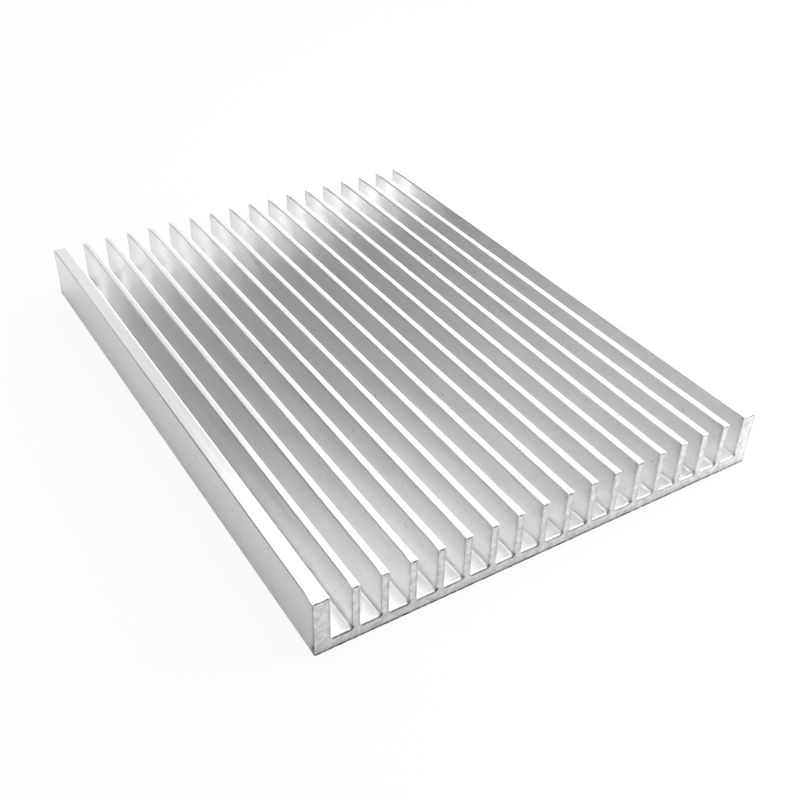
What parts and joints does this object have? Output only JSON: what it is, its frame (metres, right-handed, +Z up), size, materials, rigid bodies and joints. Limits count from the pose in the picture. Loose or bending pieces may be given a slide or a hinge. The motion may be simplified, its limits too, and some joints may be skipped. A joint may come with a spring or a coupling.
{
  "type": "extruded heat sink",
  "caption": "Low-profile extruded aluminium heat sink: a flat base plate with straight full-length fins, thicker at both sides.",
  "frame": {"origin": "centre of the flat underside", "axes": "+X across the fins, +Y along the fins, which is the direction of extrusion, and +Z up from the underside to the fin tips"},
  "size_m": [0.09, 0.12, 0.0112],
  "materials": {
    "mill_aluminium": "mill finish, bare: satin sides with fine lengthwise die lines, and matt sawn ends"
  },
  "bodies": {
    "root": {"heat_sink": "mill_aluminium"}
  },
  "joints": []
}
